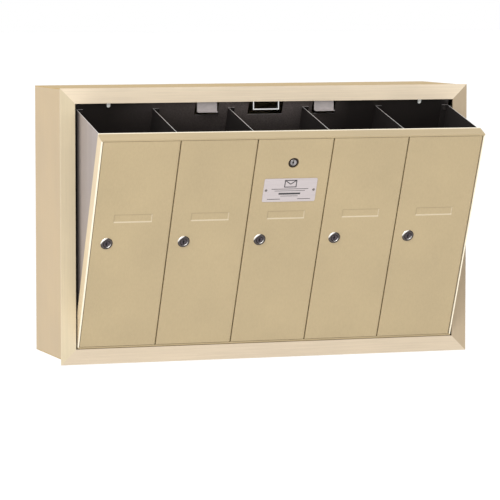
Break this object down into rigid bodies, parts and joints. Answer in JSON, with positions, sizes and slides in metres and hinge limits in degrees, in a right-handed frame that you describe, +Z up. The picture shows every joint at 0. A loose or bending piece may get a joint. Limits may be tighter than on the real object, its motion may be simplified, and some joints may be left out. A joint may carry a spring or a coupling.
{
  "type": "wall-mounted vertical mailbox bank",
  "caption": "Surface-mounted gang mailbox: a mitred trim frame on a sheet-metal housing, and a tilting bank of open-topped bins with locked, side-hung doors.",
  "frame": {"origin": "centre of the four wall holes, on the back face that lies against the wall", "axes": "+X to the viewer's right, -Y out of the wall towards the viewer, +Z up; the bank is at its open tilt and the doors are shut"},
  "size_m": [0.764, 0.3615, 0.486],
  "materials": {
    "housing_paint": "fine textured powder coat, sandstone",
    "trim_paint": "satin powder coat over extrusion lines, sandstone",
    "door_paint": "fine textured powder coat, sandstone",
    "bin_sheet": "mill",
    "zinc": "zinc plated",
    "chrome": "polished",
    "lock_face": "satin, darker than the bezel",
    "label": "printed plate",
    "nylon": "white nylon"
  },
  "bodies": {
    "housing": {"back_panel": "housing_paint", "top_panel": "housing_paint", "bottom_panel": "housing_paint", "left_side": "housing_paint", "right_side": "housing_paint", "trim_top": "trim_paint", "trim_bottom": "trim_paint", "trim_left": "trim_paint", "trim_right": "trim_paint", "trim_legs": "trim_paint", "hinge_fixed_leaf": "door_paint", "hinge_pin": "zinc", "latch_strike": "zinc", "guide_tabs": "zinc"},
    "bank": {"hinge_moving_leaf": "door_paint", "frame_top_rail": "door_paint", "frame_bottom_rail": "door_paint", "frame_left_stile": "door_paint", "frame_right_stile": "door_paint", "frame_stops": "door_paint", "frame_mullions": "bin_sheet", "bin_floor": "bin_sheet", "rear_wall": "bin_sheet", "left_end": "bin_sheet", "right_end": "bin_sheet", "dividers": "bin_sheet", "stop_bumpers": "nylon", "bin_rivets": "zinc", "door_pins": "zinc", "master_lock_case": "zinc"},
    "door_1": {"door_1": "door_paint", "lock_barrel_1": "chrome", "lock_nut_1": "zinc"},
    "lock_1": {"lock_plug_1": "lock_face", "lock_cam_1": "zinc"},
    "door_2": {"door_2": "door_paint", "lock_barrel_2": "chrome", "lock_nut_2": "zinc"},
    "lock_2": {"lock_plug_2": "lock_face", "lock_cam_2": "zinc"},
    "door_3": {"door_3": "door_paint", "lock_barrel_3": "chrome", "lock_nut_3": "zinc", "label_plate": "label", "plate_rivets": "label"},
    "lock_3": {"lock_plug_3": "lock_face", "lock_cam_3": "zinc"},
    "door_4": {"door_4": "door_paint", "lock_barrel_4": "chrome", "lock_nut_4": "zinc"},
    "lock_4": {"lock_plug_4": "lock_face", "lock_cam_4": "zinc"},
    "door_5": {"door_5": "door_paint", "lock_barrel_5": "chrome", "lock_nut_5": "zinc"},
    "lock_5": {"lock_plug_5": "lock_face", "lock_cam_5": "zinc"},
    "master_plug": {"master_plug": "chrome"},
    "master_bolt": {"master_bolt": "zinc"}
  },
  "joints": [
    {"name": "bank_tilt", "type": "hinge", "parent": "housing", "child": "bank", "pos_m": [0, -0.1941, -0.2195], "axis": [1, 0, 0], "range_deg": [-23.5, 0]},
    {"name": "door_1_swing", "type": "hinge", "parent": "bank", "child": "door_1", "pos_m": [-0.21325, -0.27639, -0.03076], "axis": [0, -0.3987, 0.9171], "range_deg": [0, 100]},
    {"name": "lock_1_turn", "type": "hinge", "parent": "door_1", "child": "lock_1", "pos_m": [-0.32205, -0.27254, -0.02254], "axis": [0, -0.9171, -0.3987], "range_deg": [0, 90]},
    {"name": "door_2_swing", "type": "hinge", "parent": "bank", "child": "door_2", "pos_m": [-0.07355, -0.27639, -0.03076], "axis": [0, -0.3987, 0.9171], "range_deg": [0, 100]},
    {"name": "lock_2_turn", "type": "hinge", "parent": "door_2", "child": "lock_2", "pos_m": [-0.18235, -0.27254, -0.02254], "axis": [0, -0.9171, -0.3987], "range_deg": [0, 90]},
    {"name": "door_3_swing", "type": "hinge", "parent": "bank", "child": "door_3", "pos_m": [0.06615, -0.27639, -0.03076], "axis": [0, -0.3987, 0.9171], "range_deg": [0, 100]},
    {"name": "lock_3_turn", "type": "hinge", "parent": "door_3", "child": "lock_3", "pos_m": [-0.04265, -0.27254, -0.02254], "axis": [0, -0.9171, -0.3987], "range_deg": [0, 90]},
    {"name": "door_4_swing", "type": "hinge", "parent": "bank", "child": "door_4", "pos_m": [0.20585, -0.27639, -0.03076], "axis": [0, -0.3987, 0.9171], "range_deg": [0, 100]},
    {"name": "lock_4_turn", "type": "hinge", "parent": "door_4", "child": "lock_4", "pos_m": [0.09705, -0.27254, -0.02254], "axis": [0, -0.9171, -0.3987], "range_deg": [0, 90]},
    {"name": "door_5_swing", "type": "hinge", "parent": "bank", "child": "door_5", "pos_m": [0.34555, -0.27639, -0.03076], "axis": [0, -0.3987, 0.9171], "range_deg": [0, 100]},
    {"name": "lock_5_turn", "type": "hinge", "parent": "door_5", "child": "lock_5", "pos_m": [0.23675, -0.27254, -0.02254], "axis": [0, -0.9171, -0.3987], "range_deg": [0, 90]},
    {"name": "master_turn", "type": "hinge", "parent": "bank", "child": "master_plug", "pos_m": [0, -0.33236, 0.11502], "axis": [0, -0.9171, -0.3987], "range_deg": [0, 90]},
    {"name": "master_bolt_lift", "type": "slide", "parent": "bank", "child": "master_bolt", "axis": [0, -0.3987, 0.9171], "range_m": [0, 0.014]}
  ],
  "couplings": [
    {"joint": "master_turn", "follows": "master_bolt_lift", "rad_per_m": 112.2}
  ]
}
